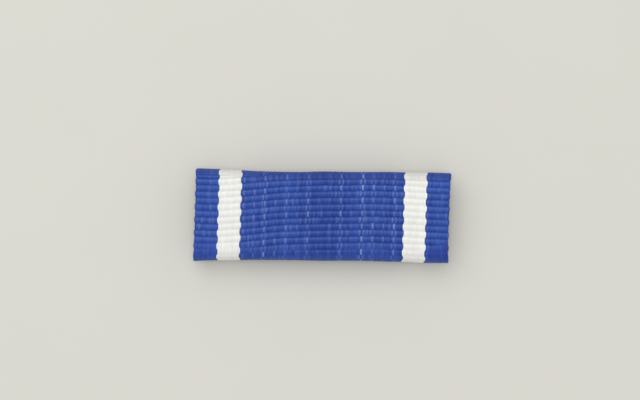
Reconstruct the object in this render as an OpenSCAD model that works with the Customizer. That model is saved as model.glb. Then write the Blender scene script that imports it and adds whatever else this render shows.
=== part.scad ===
// Ribbon bar: a short length of ribbed medal ribbon, blue with two white stripes, folded round a
// thin metal plate that carries a brooch pin on its back. It lies face up. The ribbon's width runs
// along X, the way it folds round the plate runs along Y, and the face looks along +Z.

/* [Ribbon] */
// Width of the ribbon from selvedge to selvedge
ribbon_w = 34.925; // [26:0.005:42]
// Height of the face from fold to fold
face_h = 12.35; // [10:0.05:16]
// Thickness of the cloth at the top of a rib
cloth_t = 1.2; // [0.8:0.05:1.6]
// Depth of the groove between two ribs
rib_depth = 0.22; // [0.1:0.01:0.4]
// Distance from one rib to the next, before whole ribs are fitted to the cloth's length
rib_pitch = 0.872; // [0.6:0.002:1.2]
// Width of each of the two outer blue stripes
edge_stripe_w = 3.175; // [2:0.005:5]
// Width of each of the two white stripes
white_stripe_w = 3.175; // [2:0.005:5]
// Width of the scallops along the selvedges, one to each pair of ribs
scallop_w = 0.12; // [0:0.01:0.4]
// Share of the grooves' depth that is lost where the cloth is stretched over a fold
fold_smooth = 0.85; // [0:0.05:0.9]

/* [Hand folding] */
// Greatest drift of a rib along Y, at the left selvedge
rib_drift = 1.2; // [0:0.05:1.5]
// Greatest distance that a fold stands out of line, at the lower left corner
fold_flare = 0.31; // [0:0.01:0.35]
// Lean of the ribbon against the plate, in degrees
ribbon_lean = 1; // [-2:0.1:2]

/* [Plate] */
// Thickness of the plate
plate_t = 0.7; // [0.5:0.05:1.5]
// Distance that each end of the plate stays inside the selvedge
plate_inset = 0.5; // [0.4:0.05:2]
// Clearance between the cloth and the plate's two faces
face_gap = 0.05; // [0.02:0.01:0.2]
// Clearance between the cloth and the plate's two long edges
fold_gap = 0.18; // [0.16:0.01:0.4]

/* [Brooch pin] */
// Height of the pin fitting, from its lowest face to the top of its foot strip
pin_h = 3; // [2.8:0.1:5]
// Length of the foot strip
foot_l = 26; // [24:0.5:28]
// Width of the foot strip
foot_w = 4.6; // [3.8:0.1:6]
// Thickness of the foot strip
foot_t = 0.5; // [0.4:0.05:0.8]
// Clearance between the foot strip and the two edges of cloth beside it
foot_gap = 0.45; // [0.2:0.01:0.6]
// Film of cement between the foot strip and the plate
seat_gap = 0.05; // [0.02:0.01:0.1]
// Distance between the middle of the hinge and the middle of the catch
pin_span = 19; // [16:0.5:20]
// Diameter of the needle
needle_d = 0.8; // [0.6:0.05:1]
// Length of the needle beyond the middle of the catch
needle_over = 2.6; // [2:0.1:3.4]
// Length of the needle's point
point_l = 1.8; // [1:0.1:3]
// Clearance of the needle above the bottom of the catch
needle_gap = 0.15; // [0.05:0.05:0.3]
// Diameter of the eye that the needle ends in
eye_d = 1.6; // [1.2:0.1:1.8]
// Diameter of the rivet through the hinge
rivet_d = 0.9; // [0.6:0.05:1.1]
// Length of rivet that shows outside each ear
rivet_head = 0.2; // [0.1:0.05:0.4]
// Clearance between the eye and each ear
eye_gap = 0.15; // [0.05:0.05:0.3]
// Width of the hinge over its two ears
hinge_w = 3.4; // [2.6:0.1:3.6]
// Length of each ear along the bar
ear_l = 2.8; // [2.2:0.1:4]
// Thickness of each ear
ear_t = 0.6; // [0.4:0.05:0.8]
// Radius of the ears' lower corners
ear_round = 0.7; // [0.3:0.05:1]
// Width of the catch across the bar
catch_w = 3.4; // [2.8:0.1:3.6]
// Length of the catch along the bar
catch_l = 2.4; // [1.5:0.1:3]
// Thickness of the metal strip that the catch is bent from
catch_t = 0.5; // [0.4:0.05:0.7]
// Outside radius of the catch's two bends
catch_round = 0.8; // [0.75:0.05:1]
// Height of the catch's turned-up lip
catch_lip_h = 1.4; // [1:0.05:1.6]

/* [Hidden] */
$fn = 48;
// Points along the cloth for each rib on its smooth side, and on its ribbed side for each of those
INNER_POINTS = 2;
FAN_POINTS = 3;
RIB_POINTS = INNER_POINTS * FAN_POINTS;
// Length over which the grooves fade towards a fold, as a share of the fold's radius
FADE_SHARE = 1 / 2;
// How far past the bend of the upper fold the grooves start to fade, as a share of its radius
UPPER_FADE = 0.35;
// Part of the foot strip's thickness that the hinge and the catch run up into
ROOT_SHARE = 1 / 2;

// Shift of the ribs towards the upper fold, as a share of rib_pitch, at places along the cloth,
// as shares of half its length from the middle of the face
RIB_SHIFTS = [
  // place, shift
  [-1, 0],
  [-0.45, -0.12],
  [-0.3, -0.08],
  [-0.15, -0.06],
  [0.15, -0.035],
  [0.23, 0],
  [0.31, -0.02],
  [0.39, -0.1],
  [0.47, -0.05],
  [0.6, 0],
  [1, 0],
];

// Further shift of the ribs at the left end, where they lie pressed together under the upper fold,
// by the same places and shares, and how much of it the cloth takes, by share of ribbon_w
PRESSED_RIBS = [
  // place, shift
  [0.38, 0],
  [0.46, -0.09],
  [0.54, -0.22],
  [0.62, -0.72],
  [0.72, -0.5],
  [1, 0],
];
PRESSED_ALONG = [[0, 1], [0.13, 1], [0.2, 0], [1, 0]];

// Hand-folded form of the cloth: a row for each place along the ribbon's width.
// ALONG is the share of ribbon_w from the left selvedge, DRIFT the shift of the ribs towards the
// upper fold as a share of rib_drift, UPPER and LOWER how far the two folds stand out of line, as
// shares of fold_flare, and TIGHT how far before the bend of the lower fold the grooves start to
// fade, as a share of the fold's radius.
ALONG = 0;
DRIFT = 1;
UPPER = 2;
LOWER = 3;
TIGHT = 4;
HAND_FOLDS = [
  // along, drift, upper, lower, tight
  [0.00, -0.97, 0.58, 1.00, 0.70],
  [0.09, -1.00, 0.33, 0.53, 0.60],
  [0.18, -0.80, 0.00, 0.31, 0.50],
  [0.25, -0.59, -0.34, 0.09, 0.35],
  [0.32, -0.34, -0.41, 0.02, 0.25],
  [0.41, -0.19, -0.39, -0.01, 0.30],
  [0.50, -0.07, -0.05, 0.10, 0.00],
  [0.60, 0.00, -0.12, -0.09, 0.30],
  [0.70, 0.08, 0.05, -0.06, 0.50],
  [0.77, 0.05, 0.14, 0.09, 0.35],
  [0.82, 0.02, 0.06, 0.03, 0.10],
  [0.91, -0.11, 0.17, 0.41, 0.40],
  [1.00, -0.18, 0.01, 0.35, 1.10],
];

// Stripes from the left selvedge to the right: width, colour and lengthwise spans of the model
WIDTH = 0;
COLOUR = 1;
SPANS = 2;
field_w = ribbon_w - 2 * (edge_stripe_w + white_stripe_w);
STRIPES = [
  // width, colour, spans
  [edge_stripe_w, "mediumblue", 1],
  [white_stripe_w, "white", 2],
  [field_w, "mediumblue", 9],
  [white_stripe_w, "white", 2],
  [edge_stripe_w, "mediumblue", 1],
];

// Heights of the stack: the pin fitting, the plate on it, and the cloth round the plate
plate_mid_z = pin_h + seat_gap + plate_t / 2;
plate_l = ribbon_w - 2 * plate_inset;
plate_w = face_h - 2 * (cloth_t + fold_gap);
fold_r = plate_t / 2 + face_gap + cloth_t;

// Half the cloth's length, from the middle of the face to the cut edge beside the foot strip,
// and the whole ribs that it holds
cut_y = foot_w / 2 + foot_gap;
half_run = (face_h / 2 - fold_r) + PI * fold_r + (face_h / 2 - fold_r - cut_y);
half_ribs = round(half_run / rib_pitch);
outer_count = 2 * half_ribs * RIB_POINTS + 1;
inner_count = 2 * half_ribs * INNER_POINTS + 1;
ring_count = outer_count + inner_count;

// Places along the hinge, the needle and the catch
hinge_x = -pin_span / 2;
catch_x = pin_span / 2;
needle_z = catch_t + needle_gap + needle_d / 2;
foot_z = pin_h - foot_t;
root_z = pin_h - foot_t * (1 - ROOT_SHARE);

// Value of one column of the table at a place x along the ribbon's width
function folded(x, column) =
  lookup(x / ribbon_w + 0.5, [for (row = HAND_FOLDS) [row[ALONG], row[column]]]);

// Point [y, z] at a depth under the cloth's outside, after a run from the middle of the face over
// the fold whose outermost line is at y = edge, and on along the back
function wrapped(run, edge, depth) =
  let (
    flat = edge - fold_r,
    bend = PI * fold_r,
    turn = run < flat ? 90 : run < flat + bend ? 90 - (run - flat) / fold_r * 180 / PI : -90,
    y = run < flat ? run : flat - max(0, run - flat - bend)
  )
  [y + (fold_r - depth) * cos(turn), plate_mid_z + (fold_r - depth) * sin(turn)];

// Share of a groove's depth that is left after a run over the fold at y = edge, whose pull starts
// at a lead before its bend, as a share of its radius
function groove_left(run, edge, lead) =
  let (turn = (run - edge + fold_r) / fold_r)
  1 - fold_smooth * max(0, min(1, (turn + lead) / FADE_SHARE, (PI - turn) / FADE_SHARE));

// Point of the cloth at a place x, a count of ribs from the middle of the face, positive towards
// the upper fold, a depth, and a share of a groove. The ribs' drift fades out at the cut edges.
function cloth_point(x, rib, depth, groove = 0) =
  let (
    share = rib / half_ribs,
    drift = rib_drift * folded(x, DRIFT) * (1 - pow(abs(share), 3)),
    pressed = lookup(x / ribbon_w + 0.5, PRESSED_ALONG) * lookup(share, PRESSED_RIBS),
    run = share * half_run + drift + rib_pitch * (lookup(share, RIB_SHIFTS) + pressed),
    side = run < 0 ? -1 : 1,
    edge = face_h / 2 + fold_flare * folded(x, side < 0 ? LOWER : UPPER),
    lead = side < 0 ? folded(x, TIGHT) : -UPPER_FADE,
    place = wrapped(abs(run), edge, depth + rib_depth * groove * groove_left(abs(run), edge, lead)),
    at_selvedge = abs(x) == ribbon_w / 2,
    scallop = at_selvedge ? scallop_w / 2 * cos(180 * rib) : 0
  )
  [x + run * tan(ribbon_lean) + scallop, side * place[0], place[1]];

// Closed ring of points round the cloth's cut section at a place x: the ribbed outside from the
// lower cut edge to the upper one, then the smooth inside back again
function cloth_ring(x) = concat(
  [for (i = [0 : outer_count - 1])
    let (rib = i / RIB_POINTS - half_ribs)
    cloth_point(x, rib, 0, 1 - abs(sin(180 * rib)))],
  [for (i = [inner_count - 1 : -1 : 0])
    cloth_point(x, i / INNER_POINTS - half_ribs, cloth_t)]
);

// Triangles that close the left end of a stretch of cloth, whose ring starts at point number first.
// Each inside point fans out to its own outside points, and one triangle leads on to the next.
function end_faces(first) =
  [for (k = [0 : inner_count - 2])
    let (inside = first + ring_count - 1 - k, outside = first + k * FAN_POINTS)
    for (j = [0 : FAN_POINTS])
      j < FAN_POINTS
        ? [inside, outside + j + 1, outside + j]
        : [inside, inside - 1, outside + j]];

// Triangles between one ring of points and the next
function side_faces(first) =
  [for (i = [0 : ring_count - 1])
    let (a = first + i, b = first + (i + 1) % ring_count)
    for (face = [[a, b, a + ring_count], [b, b + ring_count, a + ring_count]]) face];

function reversed(faces) = [for (face = faces) [face[2], face[1], face[0]]];

// Place of the border between stripe number n and the one before it
function border(n) = n == 0 ? -ribbon_w / 2
  : n == len(STRIPES) ? ribbon_w / 2
  : border(n - 1) + STRIPES[n - 1][WIDTH];

// The woven cloth between two places along the width, in a number of spans
module woven(from_x, to_x, spans) {
  rings = [for (i = [0 : spans]) cloth_ring(i == spans ? to_x : from_x + (to_x - from_x) * i / spans)];
  polyhedron(
    points = [for (ring = rings) for (point = ring) point],
    faces = concat(
      end_faces(0),
      [for (i = [0 : spans - 1]) for (face = side_faces(i * ring_count)) face],
      reversed(end_faces(spans * ring_count))
    ),
    convexity = 6
  );
}

// The ribbon, one cloth whose stripes are woven in
module ribbon() {
  for (n = [0 : len(STRIPES) - 1])
    color(STRIPES[n][COLOUR]) woven(border(n), border(n + 1), STRIPES[n][SPANS]);
}

// The plate inside the fold, with round long edges
module mounting_plate() {
  color("goldenrod")
    translate([0, 0, plate_mid_z])
      rotate([90, 0, 90])
        linear_extrude(plate_l, center = true) {
          square([plate_w - plate_t, plate_t], center = true);
          for (side = [-1, 1])
            translate([side * (plate_w - plate_t) / 2, 0]) circle(d = plate_t);
        }
}

// Outline that stands on a flat foot with two round lower corners
module rounded_foot(w, h, r) {
  translate([-w / 2, r]) square([w, h - r]);
  translate([r - w / 2, 0]) square([w - 2 * r, h]);
  for (side = [-1, 1]) translate([side * (w / 2 - r), r]) circle(r);
}

// Foot strip of the pin, with round ends, under the plate
module foot_strip() {
  translate([0, 0, foot_z]) linear_extrude(foot_t) {
    square([foot_l - foot_w, foot_w], center = true);
    for (side = [-1, 1]) translate([side * (foot_l - foot_w) / 2, 0]) circle(d = foot_w);
  }
}

// Two ears and the rivet that holds the needle's eye between them
module hinge() {
  for (side = [-1, 1])
    translate([hinge_x, side * (hinge_w - ear_t) / 2, 0])
      rotate([90, 0, 0])
        linear_extrude(ear_t, center = true) rounded_foot(ear_l, root_z, ear_round);
  translate([hinge_x, 0, needle_z]) rotate([90, 0, 0]) {
    cylinder(d = rivet_d, h = hinge_w + 2 * rivet_head, center = true);
    cylinder(d = eye_d, h = hinge_w - 2 * (ear_t + eye_gap), center = true);
  }
}

// Straight needle from the eye through the catch, with a tapered point
module needle() {
  shank_l = pin_span + needle_over - point_l;
  translate([hinge_x, 0, needle_z]) rotate([0, 90, 0]) {
    cylinder(d = needle_d, h = shank_l);
    translate([0, 0, shank_l]) cylinder(d1 = needle_d, d2 = needle_d / 5, h = point_l);
  }
}

// Strip bent round under the needle, open on one side above its lip
module catch_hook() {
  hollow_w = catch_w - 2 * catch_t;
  translate([catch_x, 0, 0])
    rotate([90, 0, 90])
      linear_extrude(catch_l, center = true)
        difference() {
          rounded_foot(catch_w, root_z, catch_round);
          translate([0, catch_t])
            rounded_foot(hollow_w, foot_z - catch_t, catch_round - catch_t);
          translate([-catch_w, catch_lip_h]) square([catch_w, foot_z - catch_lip_h]);
        }
}

// The pin fitting, one plain piece
module brooch_pin() {
  color("silver") {
    foot_strip();
    hinge();
    needle();
    catch_hook();
  }
}

ribbon();
mounting_plate();
brooch_pin();
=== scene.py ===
"""The ribbon bar's looks: woven cloth, brass plate and steel brooch pin. Sizes are in metres."""
import math
import bmesh
import bpy
import numpy as np
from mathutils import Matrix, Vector


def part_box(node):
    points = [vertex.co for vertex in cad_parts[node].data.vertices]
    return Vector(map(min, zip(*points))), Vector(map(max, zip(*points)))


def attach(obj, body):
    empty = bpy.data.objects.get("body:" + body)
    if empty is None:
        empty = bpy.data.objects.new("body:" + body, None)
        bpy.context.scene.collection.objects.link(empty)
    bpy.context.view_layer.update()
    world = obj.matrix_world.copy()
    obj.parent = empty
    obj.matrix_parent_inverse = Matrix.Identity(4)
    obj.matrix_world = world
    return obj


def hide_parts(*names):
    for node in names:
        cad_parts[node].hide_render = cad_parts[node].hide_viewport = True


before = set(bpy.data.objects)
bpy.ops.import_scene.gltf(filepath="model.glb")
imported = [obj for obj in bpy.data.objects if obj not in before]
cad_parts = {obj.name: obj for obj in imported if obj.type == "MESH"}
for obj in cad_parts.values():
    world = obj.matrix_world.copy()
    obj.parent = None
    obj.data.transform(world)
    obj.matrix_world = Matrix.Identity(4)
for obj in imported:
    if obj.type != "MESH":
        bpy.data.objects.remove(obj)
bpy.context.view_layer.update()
MM = 0.001

# The cloth, with the sizes of the part's source
RIBBON_W = 34.925 * MM
FACE_H = 12.35 * MM
CLOTH_T = 1.2 * MM
RIBBON_LEAN = math.radians(1)

# Its ribs: distance from one to the next before whole ribs are fitted to the cloth's length, depth
# of the groove between two, number from mid-face to each cut edge and in all, and greatest drift
# along the cloth
RIB_PITCH = 0.872 * MM
RIB_DEPTH = 0.22 * MM
HALF_RIBS = 13
RIBS = 2 * HALF_RIBS
RIB_DRIFT = 1.2 * MM

# Its folds: greatest distance that a fold stands out of line, and share of the grooves' depth that
# is lost where the cloth is stretched over it
FOLD_FLARE = 0.31 * MM
FOLD_SMOOTH = 0.85

# Length over which the grooves fade towards a fold, and how far past the upper fold's bend they
# start to fade, as shares of the fold's radius
FADE_SHARE = 0.5
UPPER_FADE = 0.35

# Clearance between the pin fitting's foot strip and the cut edges
FOOT_GAP = 0.45 * MM

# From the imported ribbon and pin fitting: the folds' radius, the height of their middle, the cut
# edges' distance from the middle of the bar, the flat part of half the face, and half the cloth's
# length
low_ribbon, high_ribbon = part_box("ribbon")
FOLD_R = (high_ribbon[2] - low_ribbon[2]) / 2
MID_Z = (high_ribbon[2] + low_ribbon[2]) / 2
CUT_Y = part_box("brooch_pin")[1][1] + FOOT_GAP
HALF_FLAT = FACE_H / 2 - FOLD_R
HALF_RUN = HALF_FLAT + math.pi * FOLD_R + HALF_FLAT - CUT_Y

# Hand-folded form: share of the width from the left selvedge, drift of the ribs as a share of
# RIB_DRIFT, how far the upper and the lower fold stand out of line as shares of FOLD_FLARE, and
# how far before the lower fold's bend the grooves start to fade, as a share of FOLD_R
ALONG, DRIFT, UPPER, LOWER, TIGHT = range(5)
HAND_FOLDS = np.array([
    (0.00, -0.97, 0.58, 1.00, 0.70),
    (0.09, -1.00, 0.33, 0.53, 0.60),
    (0.18, -0.80, 0.00, 0.31, 0.50),
    (0.25, -0.59, -0.34, 0.09, 0.35),
    (0.32, -0.34, -0.41, 0.02, 0.25),
    (0.41, -0.19, -0.39, -0.01, 0.30),
    (0.50, -0.07, -0.05, 0.10, 0.00),
    (0.60, 0.00, -0.12, -0.09, 0.30),
    (0.70, 0.08, 0.05, -0.06, 0.50),
    (0.77, 0.05, 0.14, 0.09, 0.35),
    (0.82, 0.02, 0.06, 0.03, 0.10),
    (0.91, -0.11, 0.17, 0.41, 0.40),
    (1.00, -0.18, 0.01, 0.35, 1.10),
])

# Shift of the ribs towards the upper fold, as a share of RIB_PITCH, at places along the cloth, as
# shares of half its length from the middle of the face
RIB_SHIFTS = np.array([(-1, 0), (-0.45, -0.12), (-0.30, -0.08), (-0.15, -0.06), (0.15, -0.035),
                       (0.23, 0), (0.31, -0.02), (0.39, -0.10), (0.47, -0.05), (0.60, 0), (1, 0)])

# Further shift of the ribs at the left end, where they lie pressed together under the upper fold,
# by the same places and shares, and how much of it the cloth takes, by share of the width
PRESSED_RIBS = np.array([(0.38, 0), (0.46, -0.09), (0.54, -0.22), (0.62, -0.72), (0.72, -0.50), (1, 0)])
PRESSED_ALONG = np.array([(0, 1), (0.13, 1), (0.20, 0), (1, 0)])

# The weave: yarns across the width, which lie on each rib in pairs, and for each white stripe its
# first yarn and the one after its last
YARNS = 141
YARN_W = RIBBON_W / YARNS
WHITE_YARNS = ((13, 25), (116, 128))

# Where yarns lie, as shares of the width. White yarns are a little thicker, and press the blue
# ones beside them closer together.
YARN_PLACES = np.array([(0, 0), (13, 0.0926), (25, 0.1808), (37, 37 / YARNS), (104, 104 / YARNS),
                        (116, 0.8207), (128, 0.9079), (YARNS, 1)])

# Cells of the woven side's mesh across each yarn and along each rib, and those before a rib's crest
YARN_CELLS = 3
RIB_CELLS = 8
CREST_CELL = 5

# How round each rib is, as the power of its height, and how far its yarns step to one side, as a
# share of a yarn's width
RIB_ROUND = 0.8
BRICK = 0.34

# Depth between two yarns, and further depth between two pairs, with the power that keeps it narrow
# and its share in the middle of a rib, which grows by one whole towards the grooves
YARN_DEPTH = 0.035 * MM
PAIR_DEPTH = 0.036 * MM
PAIR_NARROW = 8
PAIR_MIDDLE = 0.6

# How much higher or lower a yarn stands on one rib, as a standard deviation, and the share of all
# this relief that white yarns have
YARN_LIFT = 0.009 * MM
WHITE_RELIEF = 0.5

# The selvedge: radius of its roll, share of the roll that is left where a fold stretches it, and how
# far it is drawn in between the ribs, with the power that keeps this to its edge
SELVEDGE_R = 0.22 * MM
FOLD_ROLL = 0.35
SCALLOP = 0.05 * MM
SCALLOP_POWER = 1.5

# How far the cloth's corners spread sideways, lower left and right and then upper left and right,
# and the width beside each selvedge that spreads
CORNER_SPREAD = np.array([(0.0, 0.15), (0.07, 0.12)]) * MM
CORNER_W = 1.0 * MM

# Columns of points down each selvedge, how far below its roll they start and how far above the
# smooth side they end
SIDE_COLUMNS = 4
SIDE_START = 0.1 * MM
SIDE_END = 0.04 * MM

# Rows of points on the smooth side for each rib, and the numbers of its columns at the left end, on
# the borders of the white stripes and at the right end
INNER_ROWS = 2
INNER_COLUMNS = (0, 4, 8, 31, 35, 39)

# Cut ends: depths of their rows of points as shares of the cloth's thickness, how far a yarn's end
# stands out at most, the range of the ends as shares of this, and the share between two yarns
CUT_SHARES = (0.2, 0.5, 0.8)
YARN_END = 0.08 * MM
END_LENGTHS = (0.2, 1.0)
END_VALLEY = 0.3

# Seeds of the random draws: the yarns' heights, their colours, the plain yarns and the cut ends
LIFT_SEED, COLOUR_SEED, PLAIN_SEED, END_SEED = 7, 11, 5, 19

# Lightness of the yarns from 0 to 1: its mean, and its standard deviations from yarn to yarn, from
# rib to rib and from float to float, where a float is a yarn's way over one rib
MEAN_LIGHT = 0.5
YARN_LIGHT, RIB_LIGHT, FLOAT_LIGHT = 0.10, 0.05, 0.13

# How much lighter a rib's crest is than its grooves, as painted shade in the grooves and painted light
# on the crests, and the height that this leaves as it is
PAINTED_RIB_SHADE, EVEN_HEIGHT = 0.5, 0.65

# Range of the lightness of plain yarns, which are those of the cut ends and the smooth side
PLAIN_LIGHT = (0.25, 0.55)

# How much lighter or darker the blue yarns are painted where the cloth undulates a little, as painted
# light and shade by share of the width, and one even lift of lightness for all of the white yarns
PAINTED_WAVE_LIGHT = np.array([(0, 0.14), (0.07, 0.27), (0.20, 0.18), (0.26, -0.02), (0.33, 0.12), (0.42, 0),
                  (0.53, -0.16), (0.60, 0), (0.68, 0.09), (0.77, -0.02), (0.93, 0.20), (1, 0.06)])
WHITE_WAVE = 0.07

# Painted shade on the flank below each rib's crest: its place across the rib and its width, how much
# painted shade it has everywhere and how much more in the middle of the bar, and that middle's share
FLANK_PLACE, FLANK_W = 0.40, 0.18
PAINTED_FLANK_SHADE, PAINTED_MIDDLE_FLANK_SHADE, MIDDLE_SHARE = 0.10, 0.14, 0.13

# A few blue floats lie loose and catch the light: their share, and how bright a mark each one is
LOOSE_SHARE, LOOSE_MARK = 0.04, 0.16

# Reed marks: gaps between pairs of yarns, one to each dent of the reed. A dent holds DENT_YARNS, the
# first mark lies on the left of the yarn FIRST_MARK, and the strengths run from the left.
DENT_YARNS = 6
FIRST_MARK = 9
MARK_STRENGTHS = (0.20, 0.20, 0.10, 0.35, 0.40, 0.90, 0.35, 0.50, 0.25, 0.70, 0.15, 0.25,
                  0.80, 0.20, 1.15, 0.65, 0.35, 0.90, 0.25, 0.20, 0.15, 0.15)

# On the odd ribs each mark is a weaker pair. A kind of mark is whether it lies on the even ribs,
# its step in cells and its share of the strength.
MARK_KINDS = ((True, 0, 1.0), (False, -5, 0.42), (False, 1, 0.34))

# How many cells a mark reaches on each side of its gap with the share of its light there, the first
# and the last of its rows of cells on a rib, and the range of its brightness from rib to rib
MARK_REACHES = ((2, 0.35), (1, 1.0))
MARK_ROWS = (1, 6)
MARK_LIGHT = (0.3, 0.95)

# Painted shade of blue cloth where the upper and the lower fold stretch it, and the lower fold's further
# painted shade at the corners, as shares of its own red, green and blue, and the two folds' painted
# shade of white cloth
UPPER_FOLD_SHADE = np.array((0.66, 0.735, 0.84))
LOWER_FOLD_SHADE = np.array((0.68, 0.87, 0.97))
CORNER_FOLD_SHADE = np.array((0.40, 0.64, 0.88))
UPPER_WHITE_SHADE = 0.84
LOWER_WHITE_SHADE = 0.93

# How much of the corners' painted shade the lower fold takes, by share of the width
CORNER_SHARES = (0.0, 0.07, 0.13, 0.90, 0.95, 1.0)
CORNER_PARTS = (0.35, 0.30, 0.0, 0.0, 1.0, 1.0)

# Band of blue cloth before each fold's bend, with painted shade at the lower fold and a painted
# highlight at the upper one, as changes of its red, green and blue, with the turn at its middle and its
# width in radians
LOWER_BAND_SHADE = np.array((-0.13, -0.09, -0.03))
UPPER_BAND_HIGHLIGHT = np.array((0.09, 0.09, 0.07))
BAND_TURN, BAND_W = -0.12, 0.28

# Colours of the yarns where they are darkest and lightest, and of the reed marks
DARK_BLUE = (0.008, 0.036, 0.240, 1)
LIGHT_BLUE = (0.029, 0.085, 0.385, 1)
DARK_WHITE = (0.722, 0.726, 0.703, 1)
LIGHT_WHITE = (0.829, 0.834, 0.812, 1)
MARK_BLUE = (0.22, 0.30, 0.66, 1)

# Fineness of the fibres, the broad patches and the filaments, across the cloth and along it, and
# the filaments' twist. There are about nine filaments to a yarn, and two lengths of them to a rib.
FIBRES = (700, 90, 1)
PATCHES = (9, 3, 1)
FILAMENTS = (9 * YARNS, 2 * RIBS, 1)
TWIST = math.radians(4)

# How far fibres and patches take the cloth's red, green and blue up and down, as shares
FIBRE_SWING = (0.20, 0.20, 0.16)
PATCH_SWING = (0.07, 0.07, 0.06)

# Metals: their colour where bright and where worn, and their roughness
BRASS = ((0.62, 0.43, 0.17, 1), (0.40, 0.27, 0.12, 1), 0.38)
STEEL = ((0.62, 0.61, 0.58, 1), (0.45, 0.44, 0.42, 1), 0.32)

# Range of how worn the metal is, where less than 0 counts as bright
WORN_RANGE = (-0.4, 1.0)

# Fineness of a metal's streaks along the bar and across it, and of its dull patches, with how far
# each of the two takes the roughness up and down
STREAKS = (300, 9000, 9000)
STREAK_ROUGH = 0.08
DULL_PATCHES = 260.0
DULL_ROUGH = 0.1

# Metal edges sharper than this are rounded, by one width on the plate and another on the pin fitting
SHARP_ANGLE = math.radians(35)
PLATE_ROUND = 0.06 * MM
PIN_ROUND = 0.05 * MM

# Before that, points this close are joined, and faces within this angle of each other are made one
WELD = 0.002 * MM
FLAT_ANGLE = math.radians(1)

# The floor's width, its colours where darkest and lightest, and the fineness of its grain
FLOOR_W = 1.2
DARK_BOARD = (0.625, 0.620, 0.575, 1)
LIGHT_BOARD = (0.645, 0.640, 0.595, 1)
BOARD_GRAIN = 60.0

# Camera: straight above the bar. FRAME_W is the width that the photograph shows at the face, ROLL
# turns the picture, AIM is the point in its middle, and CLIP_START is the nearest that it sees. The
# lens and the sensor are in millimetres, as Blender takes them.
FRAME_W = 87.66 * MM
LENS = 135
SENSOR_W = 36
CLIP_START = 10 * MM
ROLL = math.radians(0.8)
AIM = (-0.295 * MM, 2.19 * MM)

# Numbers of a mix node's sockets for colours: its share, the two colours and the result
MIX_SHARE, MIX_A, MIX_B, MIX_RESULT = 0, 6, 7, 2


def curve_through(x, xs, ys):
    """Value at x of a smooth curve through the points of a table"""
    slope = np.gradient(ys, xs)
    i = np.clip(np.searchsorted(xs, x) - 1, 0, len(xs) - 2)
    step = xs[i + 1] - xs[i]
    t = (x - xs[i]) / step
    start = (2 * t**3 - 3 * t**2 + 1) * ys[i] + (t**3 - 2 * t**2 + t) * step * slope[i]
    end = (3 * t**2 - 2 * t**3) * ys[i + 1] + (t**3 - t**2) * step * slope[i + 1]
    return start + end


def folded(u, column):
    """Value of one column of HAND_FOLDS at a place u across the ribbon"""
    return curve_through(u / RIBBON_W + 0.5, HAND_FOLDS[:, ALONG], HAND_FOLDS[:, column])


def wrapped(run, edge, depth):
    """Y and Z at a depth in the cloth after a run from mid-face over the fold at y = edge"""
    flat = edge - FOLD_R
    turn = np.clip((run - flat) / FOLD_R, 0, math.pi)
    y = flat + np.minimum(run - flat, 0) - np.maximum(run - flat - math.pi * FOLD_R, 0)
    return y + (FOLD_R - depth) * np.sin(turn), MID_Z + (FOLD_R - depth) * np.cos(turn)


def across(yarn):
    """Place across the ribbon of each yarn's left side"""
    return (np.interp(yarn, YARN_PLACES[:, 0], YARN_PLACES[:, 1]) - 0.5) * RIBBON_W


def rib_shift(u, share):
    """Shift of the ribs from their even spacing, as a share of RIB_PITCH, at places across the cloth
    and at shares of half its length"""
    pressed = np.interp(u / RIBBON_W + 0.5, PRESSED_ALONG[:, 0], PRESSED_ALONG[:, 1])
    pressed = pressed * np.interp(share, PRESSED_RIBS[:, 0], PRESSED_RIBS[:, 1])
    return np.interp(share, RIB_SHIFTS[:, 0], RIB_SHIFTS[:, 1]) + pressed


def fold_places(u, rib):
    """Run from mid-face, the fold's edge that it goes over, the angle it has turned over the fold,
    and how much the fold stretches it"""
    share = rib / HALF_RIBS

    # The drift dies away towards the cut edges
    drift = RIB_DRIFT * folded(u, DRIFT) * (1 - np.abs(share)**3)
    run = share * HALF_RUN + drift + RIB_PITCH * rib_shift(u, share)
    edge = FACE_H / 2 + FOLD_FLARE * np.where(run < 0, folded(u, LOWER), folded(u, UPPER))
    turn = (np.abs(run) - edge + FOLD_R) / FOLD_R
    lead = np.where(run < 0, folded(u, TIGHT), -UPPER_FADE)
    stretch = np.clip(np.minimum(turn + lead, math.pi - turn) / FADE_SHARE, 0, 1)
    return run, edge, np.clip(turn, 0, math.pi), stretch


def corner_spread(u, rib):
    """How far the cloth spreads sideways where a selvedge goes over a fold"""
    run, _, turn, _ = fold_places(u, rib)
    near = np.clip(1 - (RIBBON_W / 2 - np.abs(u)) / CORNER_W, 0, 1)
    reach = CORNER_SPREAD[(run > 0).astype(int), (u > 0).astype(int)]
    return np.sign(u) * reach * near**2 * np.sin(turn)**4


def cloth_points(u, rib, depth, groove, sideways):
    """Points of the cloth for arrays of place across, ribs from mid-face, depth, the groove's
    depth and side step"""
    run, edge, _, stretch = fold_places(u, rib)
    y, z = wrapped(np.abs(run), edge, depth + groove * (1 - FOLD_SMOOTH * stretch))
    side = np.where(run < 0, -1.0, 1.0)
    return np.stack([u + run * math.tan(RIBBON_LEAN) + sideways, side * y, z], axis=-1)


def cell_place(cell):
    """Place across a rib, from 0 to 1, after a number of cells that crowd towards its grooves"""
    return (1 - np.cos(math.pi * cell / RIB_CELLS)) / 2


def rib_height(place):
    """Height of a rib as a share at a place across it. It leans, with its crest near the far groove."""
    crest = cell_place(CREST_CELL)
    return np.sin(math.pi / 2 * np.where(place < crest, place / crest, (1 - place) / (1 - crest)))


def yarn_height(yarn):
    """Height of the yarns as a share, from 0 between two of them to 1 at the top of each"""
    return np.abs(np.sin(math.pi * yarn))


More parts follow.
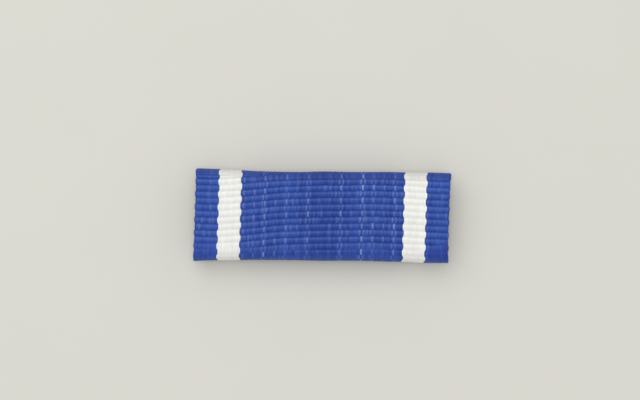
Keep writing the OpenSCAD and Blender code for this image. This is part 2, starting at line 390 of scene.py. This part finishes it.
def rib_rows():
    """Rib number and place across it for each row of the woven side, from one cut edge to the other"""
    row = np.arange(RIBS * RIB_CELLS + 1)
    number = np.minimum(row // RIB_CELLS, RIBS - 1)
    return number - HALF_RIBS, cell_place(row - number * RIB_CELLS)


def yarn_columns():
    """Number of yarns to the left of each column of points on the woven side"""
    return np.arange(YARNS * YARN_CELLS + 1) / YARN_CELLS


def brick_step(number, arch):
    """Sideways step of a rib's yarns, to one side on even ribs and to the other on odd ones. It is
    whole on the upper half of the rib's height."""
    return np.where(number % 2 == 0, -BRICK, BRICK)[:, None] * YARN_W * np.minimum(1, 2 * arch)


def brick_share(edge):
    """Share of the sideways step at a distance from the selvedge, where the weft holds the yarns. It
    grows from one half to the whole over two yarns."""
    return np.clip(0.5 + edge / (4 * YARN_W), 0, 1)


def is_white(yarn):
    """Whether each yarn of an array is white"""
    return sum(((yarn >= first) & (yarn < last)) for first, last in WHITE_YARNS).astype(bool)


def yarn_relief(yarn, number, place):
    """How far the yarns leave each point of the woven side below the top of its rib"""
    rng = np.random.default_rng(LIFT_SEED)

    # Each pair of yarns lies over the rib as two low ridges, and the pairs part towards the grooves
    off_middle = np.abs(2 * place - 1)[:, None]
    between = YARN_DEPTH * (1 - yarn_height(yarn))
    pair_edge = np.abs(np.cos(math.pi * (yarn + 1) / 2))**PAIR_NARROW
    fall = between[None, :] + PAIR_DEPTH * pair_edge[None, :] * (PAIR_MIDDLE + off_middle**2)

    # Each yarn stands a little higher or lower than the rest, rib by rib
    lift = YARN_LIFT * rng.standard_normal((RIBS, YARNS))
    cell_yarn = np.minimum(yarn.astype(int), YARNS - 1)
    lifted = lift[number + HALF_RIBS][:, cell_yarn] * rib_height(place)[:, None]
    fall = fall - lifted * yarn_height(yarn)[None, :]
    return fall * np.where(is_white(cell_yarn), WHITE_RELIEF, 1.0)[None, :]


def outside_grid():
    """Grid of points of the cloth's woven side, and the ribs and the yarns that its rows and its
    columns are at"""
    yarn = yarn_columns()
    number, place = rib_rows()
    rib = number + place
    arch = rib_height(place)[:, None]
    groove = RIB_DEPTH * (1 - arch**RIB_ROUND)
    u, r = np.broadcast_arrays(across(yarn)[None, :], rib[:, None])

    # The selvedge rolls down, less so over the folds, and is drawn in between the ribs
    edge = np.minimum(yarn, YARNS - yarn) * YARN_W
    roll = np.clip(SELVEDGE_R - edge, 0, None)
    rolled = (SELVEDGE_R - np.sqrt(SELVEDGE_R**2 - roll**2))[None, :]
    _, _, _, stretch = fold_places(u, r)
    fall = yarn_relief(yarn, number, place) + rolled * (1 - (1 - FOLD_ROLL) * stretch)
    draw = SCALLOP * (1 - arch) * (roll / SELVEDGE_R)[None, :]**SCALLOP_POWER
    step = brick_step(number, arch) * brick_share(edge)[None, :] - np.sign(u) * draw
    return cloth_points(u, r, fall, groove, step + corner_spread(u, r)), rib, yarn


def selvedge_columns(side):
    """Columns of points down one selvedge, from the woven side to the smooth one"""
    number, place = rib_rows()
    rib = number + place
    arch = rib_height(place)[:, None]
    depth = np.linspace(SELVEDGE_R + SIDE_START, CLOTH_T - SIDE_END, SIDE_COLUMNS)[None, :]
    under = np.clip(depth - (CLOTH_T - SELVEDGE_R), 0, None)
    inset = SELVEDGE_R - np.sqrt(SELVEDGE_R**2 - under**2) + SCALLOP * (1 - arch)
    groove = RIB_DEPTH * (1 - arch) * (1 - depth / CLOTH_T)
    u = side * RIBBON_W / 2 + 0 * inset
    r = rib[:, None] + 0 * u
    step = brick_step(number, arch) * brick_share(0) - side * inset + corner_spread(u, r)
    return cloth_points(u, r, depth, groove, step)


def inner_columns():
    """Places across the smooth side, with some on the stripes' borders"""
    inset = SELVEDGE_R / YARN_W
    borders = [yarn for stripe in WHITE_YARNS for yarn in stripe]
    column = np.arange(INNER_COLUMNS[-1] + 1)
    return across(np.interp(column, INNER_COLUMNS, [inset, *borders, YARNS - inset]))


def cut_rows(outer, end):
    """Rows of points down a cut end from its woven row, where the yarns' ends stand out a little"""
    rng = np.random.default_rng(END_SEED)
    yarn = yarn_columns()
    u = across(yarn) * (1 - 2 * SELVEDGE_R / RIBBON_W)
    inner = cloth_points(u, end * HALF_RIBS + 0 * u, CLOTH_T + 0 * u, 0, 0)
    length = rng.uniform(*END_LENGTHS, YARNS)[np.minimum(yarn.astype(int), YARNS - 1)]
    tuft = length * (END_VALLEY + (1 - END_VALLEY) * yarn_height(yarn))
    rows = []
    for share in CUT_SHARES:
        row = outer + (inner - outer) * share
        row[:, 1] -= end * YARN_END * tuft * math.sin(math.pi * share)
        rows.append(row)
    return np.array(rows)


def zip_rows(a, b):
    """Triangles between two rows of point numbers of different lengths, both from start to end"""
    made = []
    i = j = 0
    while i < len(a) - 1 or j < len(b) - 1:
        next_a = (i + 1) / (len(a) - 1) if i < len(a) - 1 else math.inf
        next_b = (j + 1) / (len(b) - 1) if j < len(b) - 1 else math.inf
        if next_a <= next_b:
            made.append((a[i], a[i + 1], b[j]))
            i += 1
        else:
            made.append((a[i], b[j + 1], b[j]))
            j += 1
    return np.array(made)


def numbered(parts):
    """Point numbers of several grids of points that are laid end to end"""
    first = np.cumsum([0] + [part.shape[0] * part.shape[1] for part in parts])
    return [start + np.arange(part.shape[0] * part.shape[1]).reshape(part.shape[:2])
            for start, part in zip(first, parts)]


def quads(grid):
    """Four-sided faces of a grid of point numbers"""
    corners = [grid[:-1, :-1], grid[:-1, 1:], grid[1:, 1:], grid[1:, :-1]]
    return np.stack(corners, axis=-1).reshape(-1, 4)


def cut_faces(row, cut, edge):
    """Faces of a cut end, from its woven row over its own rows to the smooth side's edge, with the
    selvedges' columns on each side of them"""
    down = np.concatenate([row[None, SIDE_COLUMNS:-SIDE_COLUMNS], cut])
    left = np.append(edge[0], cut[::-1, 0])
    right = np.append(edge[-1], cut[::-1, -1])
    return [quads(down),
            zip_rows(cut[-1], edge),
            zip_rows(row[:SIDE_COLUMNS + 1], left),
            zip_rows(row[::-1][:SIDE_COLUMNS + 1], right)[:, ::-1]]


def cloth_faces(woven, low_cut, high_cut, inner):
    """Arrays of faces that close the cloth, from its parts' point numbers: the woven side, the smooth
    side, the way from one to the other at each selvedge, and the two cut ends"""
    faces = [quads(woven),
             quads(inner)[:, ::-1],
             zip_rows(woven[:, 0], inner[:, 0]),
             zip_rows(inner[:, -1], woven[:, -1])]
    faces += [part[:, ::-1] for part in cut_faces(woven[0], low_cut, inner[0])]
    return faces + cut_faces(woven[-1], high_cut, inner[-1])


def new_mesh(name, points, faces, smooth):
    """Mesh from a list of face arrays, each with one smooth flag for all of its faces"""
    mesh = bpy.data.meshes.new(name)
    corners = np.concatenate([part.ravel() for part in faces])
    sizes = np.concatenate([np.full(len(part), part.shape[1]) for part in faces])
    starts = np.concatenate([[0], np.cumsum(sizes)[:-1]])
    flags = np.concatenate([np.full(len(part), flag) for part, flag in zip(faces, smooth)])
    mesh.vertices.add(len(points))
    mesh.vertices.foreach_set("co", points.astype(np.float32).ravel())
    mesh.loops.add(len(corners))
    mesh.loops.foreach_set("vertex_index", corners.astype(np.int32))
    mesh.polygons.add(len(sizes))
    mesh.polygons.foreach_set("loop_start", starts.astype(np.int32))
    mesh.update(calc_edges=True)
    mesh.polygons.foreach_set("use_smooth", flags)
    piece = bpy.data.objects.new(name, mesh)
    bpy.context.scene.collection.objects.link(piece)
    return piece


def add_reed_marks(mark, rng, rows, columns):
    """Writes the brightness of the reed marks into an array that has that of the loose floats. Each
    mark takes some cells on both sides of its gap, and runs over the top of the rib."""
    rib = rows // RIB_CELLS
    even = (rib - HALF_RIBS) % 2 == 0
    first_row, last_row = MARK_ROWS
    on_top = (rows % RIB_CELLS >= first_row) & (rows % RIB_CELLS <= last_row)
    for n, strength in enumerate(MARK_STRENGTHS):
        for parity, shift, share in MARK_KINDS:
            gap = (FIRST_MARK + n * DENT_YARNS) * YARN_CELLS + shift
            bright = rng.uniform(*MARK_LIGHT, RIBS)
            for reach, part in MARK_REACHES:
                here = on_top & (even == parity) & (columns >= gap - reach) & (columns < gap + reach)
                mark[here] = strength * share * part * bright[rib[here]]


def woven_colours(rows, columns, tight):
    """For each face of the woven side: how white, how light with painted shade in the grooves and on the
    flanks, and how much of a reed mark it is
    """
    rng = np.random.default_rng(COLOUR_SEED)
    rib = rows // RIB_CELLS
    yarn = columns // YARN_CELLS
    white = is_white(yarn).astype(float)
    each = np.arange(YARNS)
    # The blue yarns take the painted light and shade of the cloth's undulation, and the white ones one
    # even lift
    wave_light_and_white_lift = np.where(is_white(each), WHITE_WAVE, curve_through(each / YARNS, PAINTED_WAVE_LIGHT[:, 0], PAINTED_WAVE_LIGHT[:, 1]))
    per_yarn = rng.normal(MEAN_LIGHT, YARN_LIGHT, YARNS) + wave_light_and_white_lift
    per_rib = rng.normal(0, RIB_LIGHT, RIBS)
    per_float = rng.normal(0, FLOAT_LIGHT, (RIBS, YARNS))

    # Painted shade darkens the grooves and the flanks, less so where a fold stretches the cloth
    place = cell_place(rows % RIB_CELLS + 0.5)
    middle = np.exp(-((yarn / YARNS - 0.5) / MIDDLE_SHARE)**2)
    flank_shade = (PAINTED_FLANK_SHADE + PAINTED_MIDDLE_FLANK_SHADE * middle) * np.exp(-((place - FLANK_PLACE) / FLANK_W)**2)
    painted_shade = PAINTED_RIB_SHADE * (rib_height(place) - EVEN_HEIGHT) - flank_shade
    painted_shade = painted_shade * (1 - FOLD_SMOOTH * tight)
    light = np.clip(per_yarn[yarn] + per_rib[rib] + per_float[rib, yarn] + painted_shade, 0, 1)

    loose = rng.uniform(0, 1, (RIBS, YARNS)) < LOOSE_SHARE
    mark = np.where(loose[rib, yarn], LOOSE_MARK, 0.0)
    add_reed_marks(mark, rng, rows, columns)
    return np.stack([white, light, mark * (1 - white), np.ones(len(rows))], axis=-1)


def plain_colours(yarn):
    """The same three numbers for faces of the cut ends and the smooth side, from the yarn of each"""
    plain = np.random.default_rng(PLAIN_SEED).uniform(*PLAIN_LIGHT, YARNS)
    return np.stack([is_white(yarn), plain[yarn], 0 * yarn, np.ones(len(yarn))], axis=-1)


def corner_colours(faces, places, tight):
    """Colours of the corners of every face, from the points' places on the cloth. The first array of
    faces is the woven side, and tight is how much the folds stretch its points."""
    rows, columns = np.divmod(np.arange(len(faces[0])), tight.shape[1] - 1)
    yarn_column = np.clip(columns - SIDE_COLUMNS, 0, YARNS * YARN_CELLS - 1)
    colours = [woven_colours(rows, yarn_column, tight[rows, columns])]
    for part in faces[1:]:
        share = places[part][:, :, 0].mean(axis=1)
        colours.append(plain_colours(np.clip(share * YARNS, 0, YARNS - 1).astype(int)))
    return np.concatenate([np.repeat(each, part.shape[1], axis=0) for each, part in zip(colours, faces)])


def painted_fold_light(u, rib):
    """Painted shade and light of blue and of white cloth at places on it, over the folds and in the
    bands before them, as shares of their own colours
    """
    run, edge, turn, stretch = fold_places(u, rib)
    # upper and lower mark where the folds' painted shade falls
    upper = (np.clip(np.minimum(turn, math.pi - turn) / FADE_SHARE, 0, 1)**2 * (run > 0))[..., None]
    lower = (stretch * np.cos(np.minimum(turn, math.pi / 2))**2 * (run < 0))[..., None]
    corner = np.interp(u / RIBBON_W + 0.5, CORNER_SHARES, CORNER_PARTS)[..., None]
    lower_shade = LOWER_FOLD_SHADE * (1 - corner * (1 - CORNER_FOLD_SHADE))
    # Painted highlight just before the upper fold's bend and painted shade just before the lower one
    before = ((np.abs(run) - edge + FOLD_R) / FOLD_R - BAND_TURN) / BAND_W
    band_light = np.where(run[..., None] < 0, LOWER_BAND_SHADE, UPPER_BAND_HIGHLIGHT) * np.exp(-before**2)[..., None]
    blue = 1 + band_light * (1 + corner) - upper * (1 - UPPER_FOLD_SHADE) - lower * (1 - lower_shade)
    white = 1 - upper * (1 - UPPER_WHITE_SHADE) - lower * (1 - LOWER_WHITE_SHADE) + 0 * blue
    return blue, white


def add_layers(mesh, colours, fold_light, places):
    """Gives a mesh its corners' colours, the folds' painted shade and light for blue or white, and its
    points' places
    """
    corners = np.zeros(len(mesh.loops), dtype=np.int32)
    mesh.loops.foreach_get("vertex_index", corners)
    blue, white = fold_light
    fold = np.where(colours[:, :1] > 0.5, white[corners], blue[corners])
    # The layer named fold holds the folds' painted shade and light
    for name, values in (("yarn", colours), ("fold", fold)):
        layer = mesh.color_attributes.new(name=name, type="FLOAT_COLOR", domain="CORNER")
        layer.data.foreach_set("color", values.astype(np.float32).ravel())
    weave = mesh.uv_layers.new(name="weave")
    weave.uv.foreach_set("vector", places[corners].astype(np.float32).ravel())


def ribbon_piece():
    """The whole cloth as one closed mesh: woven side, selvedges, cut ends and smooth side"""
    outside, rib, yarn = outside_grid()
    woven = np.concatenate([selvedge_columns(-1)[:, ::-1], outside, selvedge_columns(1)], axis=1)
    inner_ribs = np.linspace(-HALF_RIBS, HALF_RIBS, RIBS * INNER_ROWS + 1)
    inner_u, inner_r = np.meshgrid(inner_columns(), inner_ribs)
    inside = cloth_points(inner_u, inner_r, CLOTH_T + 0 * inner_u, 0, 0)
    parts = [woven, cut_rows(outside[0], -1), cut_rows(outside[-1], 1), inside]
    points = np.concatenate([part.reshape(-1, 3) for part in parts])
    faces = cloth_faces(*numbered(parts))
    smooth = [True, True] + [False] * (len(faces) - 2)
    piece = new_mesh("ribbon_cloth", points, faces, smooth)

    # Where each point lies across and along the cloth, as shares
    u, r = np.broadcast_arrays(across(np.pad(yarn, SIDE_COLUMNS, mode="edge"))[None, :], rib[:, None])
    cut_u = np.tile(across(yarn), len(CUT_SHARES))
    point_u = np.concatenate([u.ravel(), cut_u, cut_u, inner_u.ravel()])
    point_r = np.concatenate([r.ravel(), 0 * cut_u - HALF_RIBS, 0 * cut_u + HALF_RIBS, inner_r.ravel()])
    places = np.stack([point_u / RIBBON_W + 0.5, point_r / RIBS + 0.5], axis=-1)

    # Only the woven side takes the folds' painted shade and light
    fold_light = np.ones((2, len(points), 4))
    fold_light[:, :u.size, :3] = np.reshape(painted_fold_light(u, r), (2, -1, 3))
    _, _, _, tight = fold_places(u, r)
    add_layers(piece.data, corner_colours(faces, places, tight), fold_light, places)
    return piece


def set_inputs(tree, node, inputs):
    """Sets a node's inputs to values, or links them to sockets"""
    for key, value in inputs.items():
        if isinstance(value, bpy.types.NodeSocket):
            tree.links.new(value, node.inputs[key])
        else:
            node.inputs[key].default_value = value


def add(tree, kind, inputs=None, **settings):
    """New node with its settings and inputs"""
    made = tree.nodes.new(kind)
    for key, value in settings.items():
        setattr(made, key, value)
    set_inputs(tree, made, inputs or {})
    return made


def nodes_of(name):
    """New material, with its node tree emptied to one principled shader and its output"""
    material = bpy.data.materials.new(name)
    material.use_nodes = True
    tree = material.node_tree
    tree.nodes.clear()
    shader = add(tree, "ShaderNodeBsdfPrincipled")
    add(tree, "ShaderNodeOutputMaterial", {"Surface": shader.outputs[0]})
    return material, tree, shader


def mixed(tree, share, a, b, blend="MIX"):
    """Colour output that mixes two colours or sockets by a share"""
    inputs = {MIX_SHARE: share, MIX_A: a, MIX_B: b}
    node = add(tree, "ShaderNodeMix", data_type="RGBA", blend_type=blend)
    set_inputs(tree, node, inputs)
    return node.outputs[MIX_RESULT]


def ranged(tree, value, low, high):
    """Number from 0 to 1 spread over another range"""
    return add(tree, "ShaderNodeMapRange", {"Value": value, "To Min": low, "To Max": high}).outputs[0]


def stretched(tree, place, scale, turn=0.0):
    """Place that is scaled along each axis and turned about Z"""
    inputs = {"Vector": place, "Rotation": (0, 0, turn), "Scale": scale}
    return add(tree, "ShaderNodeMapping", inputs).outputs[0]


def noise(tree, place, detail, scale=1.0):
    """Noise from 0 to 1 at a place"""
    inputs = {"Vector": place, "Scale": scale, "Detail": detail}
    return add(tree, "ShaderNodeTexNoise", inputs).outputs[0]


def varied(tree, colour, share, swings):
    """Colour whose red, green and blue go up and down with a share, each by its own swing"""
    parts = {n: ranged(tree, share, 1 - swing, 1 + swing) for n, swing in enumerate(swings)}
    return mixed(tree, 1.0, colour, add(tree, "ShaderNodeCombineColor", parts).outputs[0], "MULTIPLY")


def bumped(tree, height, strength, distance):
    """Normal of a surface that a height from 0 to 1 moves by up to a distance"""
    inputs = {"Height": height, "Strength": strength, "Distance": distance}
    return add(tree, "ShaderNodeBump", inputs).outputs[0]


def layer_colour(tree, name):
    """Colour from a layer of the mesh"""
    layer = add(tree, "ShaderNodeAttribute", attribute_name=name, attribute_type="GEOMETRY")
    return layer.outputs["Color"]


def cloth_material():
    """Lustrous warp yarns in blue and white, each a little different, with fine fibres and with
    filaments that run along each yarn with a slight twist"""
    material, tree, shader = nodes_of("ribbon cloth")
    split = add(tree, "ShaderNodeSeparateColor", {"Color": layer_colour(tree, "yarn")})
    white, light, mark = split.outputs
    weave = add(tree, "ShaderNodeUVMap", uv_map="weave").outputs[0]
    fibres = noise(tree, stretched(tree, weave, FIBRES), detail=3.0)
    patches = noise(tree, stretched(tree, weave, PATCHES), detail=2.0)
    filaments = noise(tree, stretched(tree, weave, FILAMENTS, TWIST), detail=2.0)

    blue_yarn = mixed(tree, light, DARK_BLUE, LIGHT_BLUE)
    white_yarn = mixed(tree, light, DARK_WHITE, LIGHT_WHITE)
    marked = mixed(tree, mark, mixed(tree, white, blue_yarn, white_yarn), MARK_BLUE)
    toned = varied(tree, varied(tree, marked, fibres, FIBRE_SWING), patches, PATCH_SWING)

    # Painted shade over the folds and painted light and shade just before them multiply the cloth's
    # colour
    cloth = mixed(tree, 1.0, toned, layer_colour(tree, "fold"), "MULTIPLY")
    set_inputs(tree, shader, {"Base Color": cloth,
                              "Roughness": ranged(tree, fibres, 0.42, 0.60),
                              "Normal": bumped(tree, filaments, strength=0.6, distance=0.02 * MM),
                              "Specular IOR Level": 0.32,
                              "Sheen Weight": 0.04,
                              "Sheen Roughness": 0.4})
    return material


def metal_material(name, bright, worn, roughness):
    """Rolled metal with fine streaks along the bar, and dull patches"""
    material, tree, shader = nodes_of(name)
    place = add(tree, "ShaderNodeTexCoord").outputs["Object"]
    streaks = noise(tree, stretched(tree, place, STREAKS), detail=4.0)
    patches = noise(tree, place, detail=5.0, scale=DULL_PATCHES)
    colour = mixed(tree, ranged(tree, patches, *WORN_RANGE), bright, worn)
    terms = {0: ranged(tree, streaks, -STREAK_ROUGH, STREAK_ROUGH),
             1: ranged(tree, patches, roughness - DULL_ROUGH, roughness + DULL_ROUGH)}
    rough = add(tree, "ShaderNodeMath", terms, operation="ADD").outputs[0]
    set_inputs(tree, shader, {"Base Color": colour,
                              "Roughness": rough,
                              "Normal": bumped(tree, streaks, strength=0.15, distance=0.01 * MM),
                              "Metallic": 1.0})
    return material


def floor_material():
    """Pale matte board"""
    material, tree, shader = nodes_of("pale board")
    place = add(tree, "ShaderNodeTexCoord").outputs["Object"]
    grain = noise(tree, place, detail=2.0, scale=BOARD_GRAIN)
    set_inputs(tree, shader, {"Base Color": mixed(tree, grain, DARK_BOARD, LIGHT_BOARD),
                              "Roughness": 0.9,
                              "Specular IOR Level": 0.15})
    return material


def softened(name, node, width):
    """Copy of a CAD solid whose sharp edges are rounded"""
    mesh = node.data.copy()
    mesh.materials.clear()
    form = bmesh.new()
    form.from_mesh(mesh)
    bmesh.ops.remove_doubles(form, verts=form.verts, dist=WELD)
    bmesh.ops.dissolve_limit(form, angle_limit=FLAT_ANGLE, verts=form.verts, edges=form.edges)
    sharp = [edge for edge in form.edges if edge.is_manifold and edge.calc_face_angle() > SHARP_ANGLE]
    made = bmesh.ops.bevel(form, geom=sharp, offset=width, offset_type="OFFSET", segments=3,
                           profile=0.5, affect="EDGES", clamp_overlap=True)
    rounded = set(made["faces"])
    for face in form.faces:
        face.smooth = True
    for edge in form.edges:
        edge.smooth = len({face in rounded for face in edge.link_faces}) == 1
    form.to_mesh(mesh)
    form.free()
    piece = bpy.data.objects.new(name, mesh)
    bpy.context.scene.collection.objects.link(piece)
    return piece


def dress():
    """Puts the cloth in place of its solid, and rounded metal in place of the plate and the pin"""
    cloth = ribbon_piece()
    cloth.data.materials.append(cloth_material())
    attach(cloth, "root")
    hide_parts("ribbon")

    brass = metal_material("plate brass", *BRASS)
    steel = metal_material("pin steel", *STEEL)
    for name, node, width, material, slot in (
            ("plate", "mounting_plate", PLATE_ROUND, brass, "plate_brass"),
            ("pin_fitting", "brooch_pin", PIN_ROUND, steel, "pin_steel")):
        piece = softened(name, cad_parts[node], width)
        piece.data.materials.append(material)
        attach(piece, "root")
        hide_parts(node)


def floor():
    """Plain pale surface that the bar lies on"""
    bpy.ops.mesh.primitive_plane_add(size=FLOOR_W, location=(0, 0, 0))
    ground = bpy.context.object
    ground.name = "floor"
    ground.data.materials.append(floor_material())


def softbox(name, place, size, power):
    """Square area light at a place, aimed at the bar"""
    lamp = bpy.data.lights.new(name, "AREA")
    lamp.shape = "SQUARE"
    lamp.size = size
    lamp.energy = power
    box = bpy.data.objects.new(name, lamp)
    box.location = place
    box.rotation_euler = (-Vector(place)).to_track_quat("-Z", "Y").to_euler()
    bpy.context.scene.collection.objects.link(box)


def lights():
    """Even studio light, strongest from above the upper fold and a little from the left"""
    softbox("key", place=(-0.14, 0.22, 0.48), size=0.52, power=1.16)
    softbox("top", place=(0.0, 0.0, 0.70), size=0.20, power=1.14)
    world = bpy.data.worlds.new("studio")
    world.use_nodes = True
    room = world.node_tree.nodes["Background"]
    set_inputs(world.node_tree, room, {"Color": (1.0, 0.985, 0.96, 1), "Strength": 0.615})
    bpy.context.scene.world = world


def camera():
    """Camera straight above, turned so that the bar lies as in the photograph"""
    data = bpy.data.cameras.new("camera")
    data.lens = LENS
    data.sensor_width = SENSOR_W
    data.clip_start = CLIP_START
    eye = bpy.data.objects.new("camera", data)
    distance = FRAME_W * LENS / SENSOR_W
    eye.location = (*AIM, high_ribbon[2] + distance)
    eye.rotation_euler = (0, 0, ROLL)
    bpy.context.scene.collection.objects.link(eye)
    bpy.context.scene.camera = eye


dress()
floor()
lights()
camera()
bpy.context.scene.view_settings.view_transform = "Standard"
